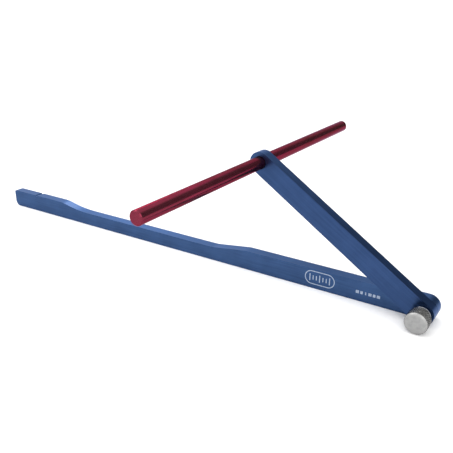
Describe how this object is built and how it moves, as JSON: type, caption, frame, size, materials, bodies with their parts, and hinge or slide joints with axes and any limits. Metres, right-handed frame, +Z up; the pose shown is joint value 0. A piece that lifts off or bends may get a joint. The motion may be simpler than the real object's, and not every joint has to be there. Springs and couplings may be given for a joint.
{
  "type": "two-arm setting gauge",
  "caption": "Hand setting gauge: a waisted long bar and a short bar hinged at one end under a knurled clamp knob, with a round rod sliding crosswise through the short bar's eye.",
  "frame": {"origin": "on the standing surface, under the middle of the model's box, with the short arm lifted 33.7 degrees and the rod centred in its eye", "axes": "+X along the long arm from its free tip to the pivot, +Y along the rod away from the knob, +Z up"},
  "size_m": [0.537, 0.352, 0.1254],
  "materials": {
    "blue_anodised": "blue anodised, satin",
    "red_anodised": "red anodised, glossy",
    "silver_aluminium": "bare turned and knurled aluminium",
    "steel": "bright steel",
    "spring_steel": "dark phosphated spring steel",
    "bronze": "plain bearing bronze",
    "nylon": "natural nylon",
    "rubber": "matt black rubber"
  },
  "bodies": {
    "base": {"long_arm": "blue_anodised", "thread_insert": "steel", "friction_washer": "nylon"},
    "arm": {"short_arm": "blue_anodised", "pivot_bush": "bronze", "front_o_ring": "rubber", "rear_o_ring": "rubber", "wave_washer": "spring_steel"},
    "rod": {"cross_rod": "red_anodised"},
    "washer": {"flat_washer": "steel"},
    "knob": {"thumb_knob": "silver_aluminium", "pivot_stud": "steel", "retaining_clip": "spring_steel"}
  },
  "joints": [
    {"name": "arm_hinge", "type": "hinge", "parent": "base", "child": "arm", "pos_m": [0.2585, 0, 0.01], "axis": [0, 1, 0], "range_deg": [-29.3, 146.3]},
    {"name": "rod_slide", "type": "slide", "parent": "arm", "child": "rod", "axis": [0, 1, 0], "range_m": [-0.15, 0.15]},
    {"name": "clamp_travel", "type": "slide", "parent": "base", "child": "washer", "axis": [0, -1, 0], "range_m": [0, 0.0015]},
    {"name": "knob_turn", "type": "hinge", "parent": "washer", "child": "knob", "pos_m": [0.2585, -0.0276, 0.01], "axis": [0, -1, 0], "range_deg": [0, 540]}
  ],
  "couplings": [
    {"joint": "knob_turn", "follows": "clamp_travel", "rad_per_m": 6283.2}
  ]
}
